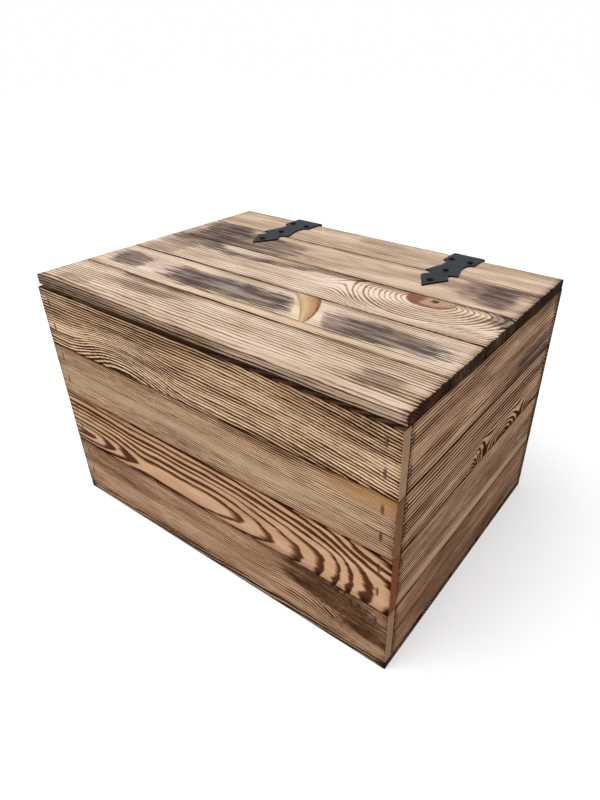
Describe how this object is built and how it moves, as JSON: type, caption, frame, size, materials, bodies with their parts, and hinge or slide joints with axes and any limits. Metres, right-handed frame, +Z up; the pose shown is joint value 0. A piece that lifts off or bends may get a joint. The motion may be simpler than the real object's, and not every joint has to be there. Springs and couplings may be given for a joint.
{
  "type": "kindling box",
  "caption": "Rectangular chest of scorched pine boards with a boarded lid that swings back on ornamental strap hinges, for keeping kindling.",
  "frame": {"origin": "middle of the underside of the bottom boards, on the surface the box stands on", "axes": "+Z up, +X along the front towards the right-hand end, +Y from the front to the hinged back"},
  "size_m": [0.505, 0.3812, 0.3212],
  "materials": {
    "flamed_pine": "torch-flamed and brushed softwood, dry satin",
    "bare_pine": "planed softwood, untreated",
    "black_steel": "matt anthracite powder coat on sheet steel",
    "black_screw": "black phosphated steel, satin",
    "staple_wire": "galvanised wire, heat-dulled"
  },
  "bodies": {
    "box": {"front_board_1": "flamed_pine", "front_board_2": "flamed_pine", "front_board_3": "flamed_pine", "front_board_4": "flamed_pine", "back_board_1": "flamed_pine", "back_board_2": "flamed_pine", "back_board_3": "flamed_pine", "back_board_4": "flamed_pine", "left_board_1": "flamed_pine", "left_board_2": "flamed_pine", "left_board_3": "flamed_pine", "left_board_4": "flamed_pine", "right_board_1": "flamed_pine", "right_board_2": "flamed_pine", "right_board_3": "flamed_pine", "right_board_4": "flamed_pine", "bottom_board_1": "flamed_pine", "bottom_board_2": "flamed_pine", "bottom_board_3": "flamed_pine", "bottom_board_4": "flamed_pine", "bottom_board_5": "flamed_pine", "corner_post_front_left": "bare_pine", "corner_post_front_right": "bare_pine", "corner_post_back_left": "bare_pine", "corner_post_back_right": "bare_pine", "hinge_box_leaf_left": "black_steel", "hinge_box_leaf_right": "black_steel", "hinge_pin_left": "black_steel", "hinge_pin_right": "black_steel", "box_leaf_screw_left_1": "black_screw", "box_leaf_screw_left_2": "black_screw", "box_leaf_screw_left_3": "black_screw", "box_leaf_screw_left_4": "black_screw", "box_leaf_screw_right_1": "black_screw", "box_leaf_screw_right_2": "black_screw", "box_leaf_screw_right_3": "black_screw", "box_leaf_screw_right_4": "black_screw"},
    "lid": {"lid_board_1": "flamed_pine", "lid_board_2": "flamed_pine", "lid_board_3": "flamed_pine", "lid_board_4": "flamed_pine", "lid_board_5": "flamed_pine", "lid_batten_left": "bare_pine", "lid_batten_right": "bare_pine", "hinge_lid_leaf_left": "black_steel", "hinge_lid_leaf_right": "black_steel", "lid_leaf_screw_left_1": "black_screw", "lid_leaf_screw_left_2": "black_screw", "lid_leaf_screw_left_3": "black_screw", "lid_leaf_screw_left_4": "black_screw", "lid_leaf_screw_right_1": "black_screw", "lid_leaf_screw_right_2": "black_screw", "lid_leaf_screw_right_3": "black_screw", "lid_leaf_screw_right_4": "black_screw"}
  },
  "joints": [
    {"name": "lid_hinge", "type": "hinge", "parent": "box", "child": "lid", "pos_m": [0, 0.19062, 0.30475], "axis": [-1, 0, 0], "range_deg": [0, 180]}
  ]
}
